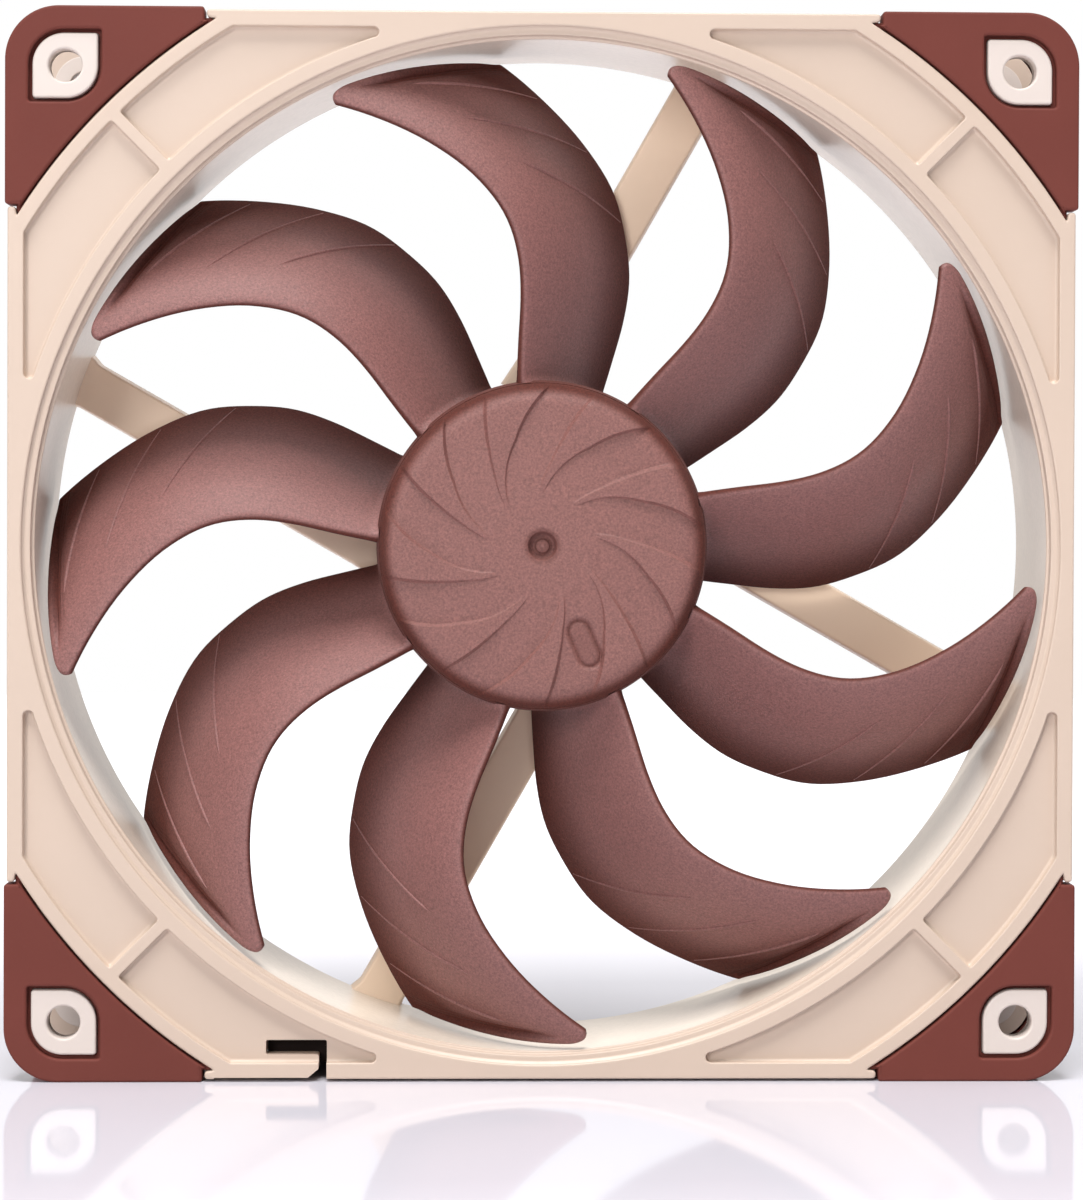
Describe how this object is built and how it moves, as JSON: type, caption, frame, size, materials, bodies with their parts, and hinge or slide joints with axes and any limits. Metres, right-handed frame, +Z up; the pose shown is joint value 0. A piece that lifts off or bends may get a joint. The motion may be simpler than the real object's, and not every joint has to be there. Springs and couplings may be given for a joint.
{
  "type": "axial case fan",
  "caption": "Square axial case fan with a swept-blade impeller on a central hub, a round stepped duct and soft corner mounting pads.",
  "frame": {"origin": "middle of the fan on the rotor axis, which is the centre of the whole box", "axes": "fan upright: intake side faces -Y, air leaves toward +Y along the rotor axis, +Z is up and +X is to the right seen from the intake"},
  "size_m": [0.14, 0.025, 0.14],
  "materials": {
    "frame_beige": "satin moulded, fine grain",
    "impeller_brown": "satin moulded",
    "pad_rubber": "matt soft rubber",
    "steel": "zinc plated or ground",
    "lamination": "varnished steel sheets",
    "brass": "turned",
    "magnet": "matt ferrite",
    "black_plastic": "moulded",
    "black_rubber": "matt",
    "winding": "lacquered wire",
    "board": "solder mask",
    "label_film": "plain printed film",
    "sinter": "oil-filled sintered metal",
    "nylon": "natural"
  },
  "bodies": {
    "housing": {"frame": "frame_beige", "bearing_housing": "brass", "bearing_sleeve": "sinter", "oil_seal": "nylon", "shaft_clip": "nylon", "thrust_plate": "steel", "stator_core": "lamination", "insulator_front": "nylon", "insulator_rear": "nylon", "coil_1": "winding", "coil_2": "winding", "coil_3": "winding", "coil_4": "winding", "circuit_board": "board", "driver_chip": "black_plastic", "hall_sensor": "black_plastic", "capacitor": "black_plastic", "rear_label": "label_film", "motor_lead": "black_rubber", "cable_gland": "black_rubber", "pad_front_top_left": "pad_rubber", "pad_front_top_right": "pad_rubber", "pad_front_bottom_left": "pad_rubber", "pad_front_bottom_right": "pad_rubber", "pad_rear_top_left": "pad_rubber", "pad_rear_top_right": "pad_rubber", "pad_rear_bottom_left": "pad_rubber", "pad_rear_bottom_right": "pad_rubber"},
    "rotor": {"impeller": "impeller_brown", "rotor_yoke": "steel", "ring_magnet": "magnet", "shaft_insert": "brass", "shaft": "steel"}
  },
  "joints": [
    {"name": "impeller_spin", "type": "hinge", "parent": "housing", "child": "rotor", "pos_m": [0, 0, 0], "axis": [0, -1, 0], "continuous": true}
  ]
}
